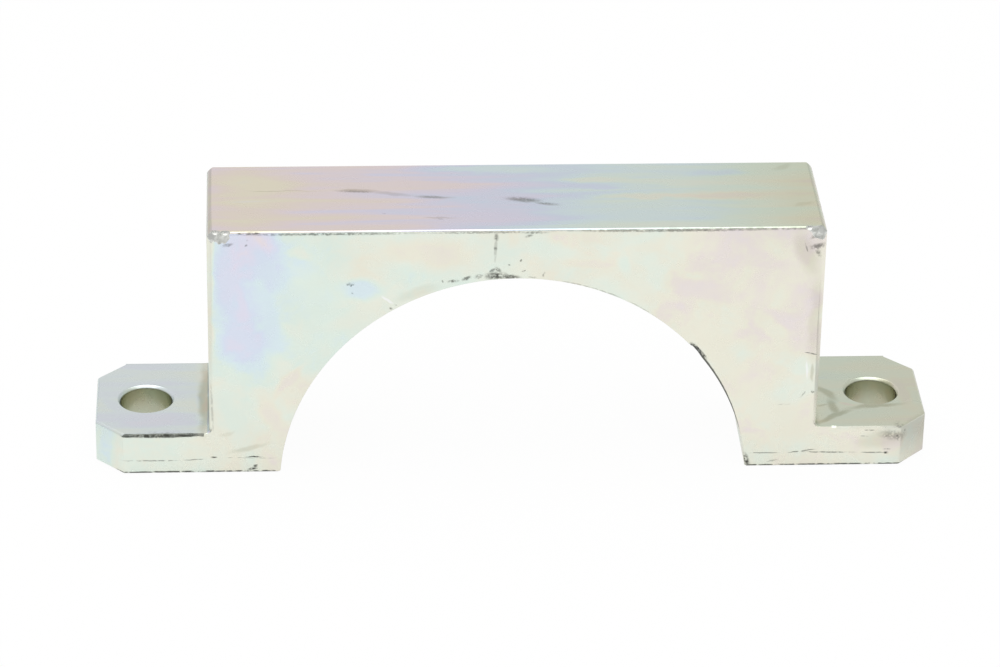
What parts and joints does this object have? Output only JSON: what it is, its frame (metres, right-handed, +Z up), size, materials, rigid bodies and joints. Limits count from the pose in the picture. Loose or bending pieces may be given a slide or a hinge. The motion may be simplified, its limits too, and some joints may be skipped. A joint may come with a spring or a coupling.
{
  "type": "boom clamp",
  "caption": "Milled steel clamp half with a half-round saddle for a pipe and a drilled ear at each side, zinc plated with an iridescent passivate.",
  "frame": {"origin": "under the middle of the clamp, on the plane of its two feet", "axes": "+X from ear to ear, +Y along the pipe, away from the knocked and nicked front face, +Z up, from the feet to the flat top"},
  "size_m": [0.238, 0.041, 0.0776],
  "materials": {
    "zinc_plate": "satin zinc plate with a pale iridescent passivate, scuffed at the edges"
  },
  "bodies": {
    "root": {"clamp_body": "zinc_plate"}
  },
  "joints": []
}
